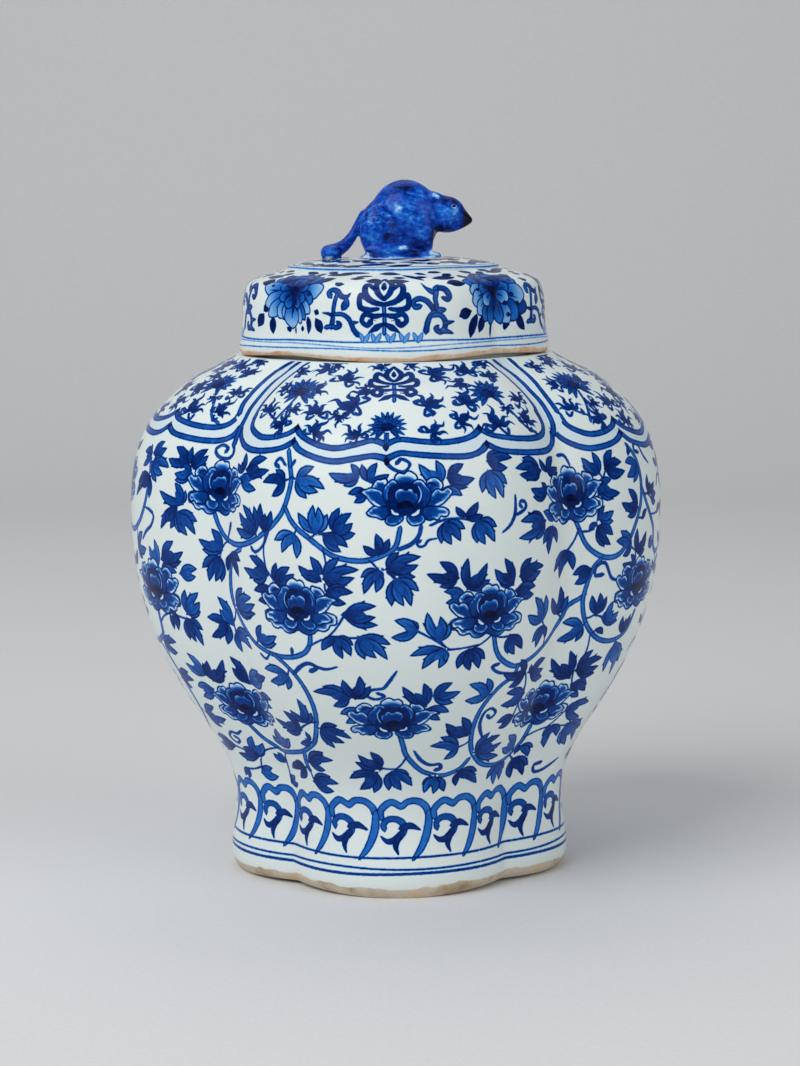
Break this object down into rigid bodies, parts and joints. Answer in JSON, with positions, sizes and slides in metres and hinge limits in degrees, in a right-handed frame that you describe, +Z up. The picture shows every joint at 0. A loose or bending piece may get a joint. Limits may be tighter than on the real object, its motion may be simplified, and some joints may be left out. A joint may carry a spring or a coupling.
{
  "type": "lidded jar",
  "caption": "Four-lobed blue-and-white porcelain jar with a cap cover and a crouching rat knob; the cover lifts straight off the neck.",
  "frame": {"origin": "on the table under the middle of the foot", "axes": "+Z up through the jar, lobes facing +X, +Y, -X and -Y, rat knob looking along +X, the pictured side facing -Y"},
  "size_m": [0.3076, 0.3076, 0.4],
  "materials": {
    "painted_porcelain": "bluish white glaze over cobalt blue brush painting, glossy",
    "plain_porcelain": "white glaze, unglazed at the lip",
    "blue_glaze": "cobalt blue glaze, mottled, glossy"
  },
  "bodies": {
    "jar": {"foot": "painted_porcelain", "lower_body": "painted_porcelain", "upper_body": "painted_porcelain", "neck": "plain_porcelain"},
    "cover": {"cover_wall": "painted_porcelain", "cover_crown": "painted_porcelain", "plinth": "painted_porcelain", "rat_body": "blue_glaze", "rat_head": "blue_glaze", "rat_ear_left": "blue_glaze", "rat_ear_right": "blue_glaze", "rat_hind_leg_left": "blue_glaze", "rat_hind_leg_right": "blue_glaze", "rat_fore_leg_left": "blue_glaze", "rat_fore_leg_right": "blue_glaze", "rat_tail": "blue_glaze", "rat_tail_curl": "blue_glaze"}
  },
  "joints": [
    {"name": "cover_lift", "type": "slide", "parent": "jar", "child": "cover", "axis": [0, 0, 1], "range_m": [0, 0.12]}
  ]
}
